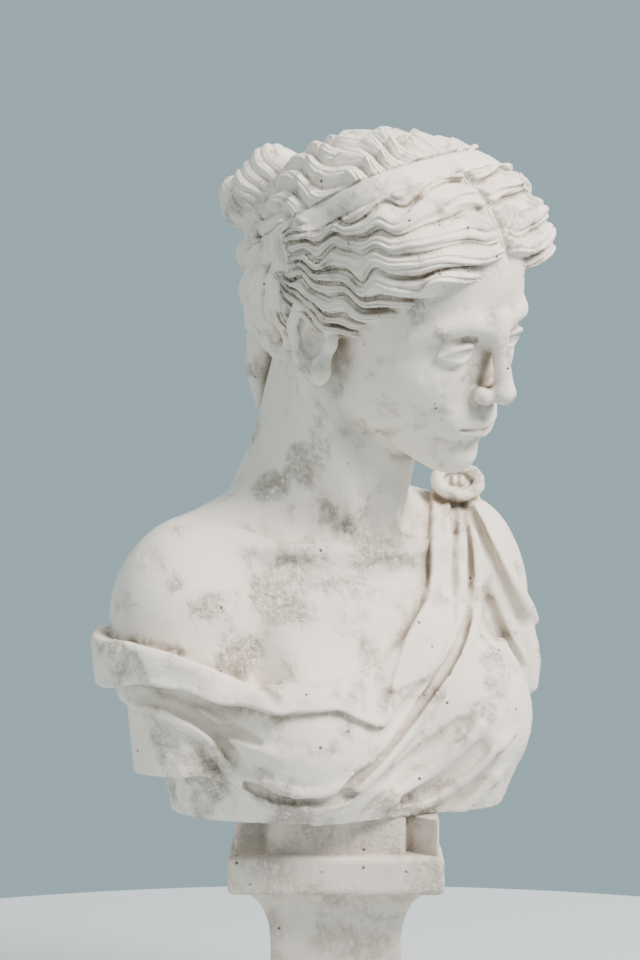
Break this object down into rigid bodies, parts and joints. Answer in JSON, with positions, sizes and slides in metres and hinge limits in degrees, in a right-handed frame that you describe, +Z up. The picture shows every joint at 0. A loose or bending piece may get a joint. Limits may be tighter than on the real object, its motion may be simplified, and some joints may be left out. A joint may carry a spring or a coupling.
{
  "type": "female bust on plinth",
  "caption": "Classical female bust in weathered cast stone, her bowed head turned to her left, a draped dress pinned at one shoulder, standing on a waisted square plinth.",
  "frame": {"origin": "centre of the plinth's underside", "axes": "+Z up; the plinth's front faces -Y, and +X is to the right of someone who faces that front"},
  "size_m": [0.3179, 0.2927, 0.66],
  "materials": {
    "bust_stone": "weathered off-white cast stone, matt and finely pitted",
    "plinth_stone": "weathered off-white cast stone, matt, with grey-beige dirt"
  },
  "bodies": {
    "root": {"bust": "bust_stone", "plinth": "plinth_stone"}
  },
  "joints": []
}
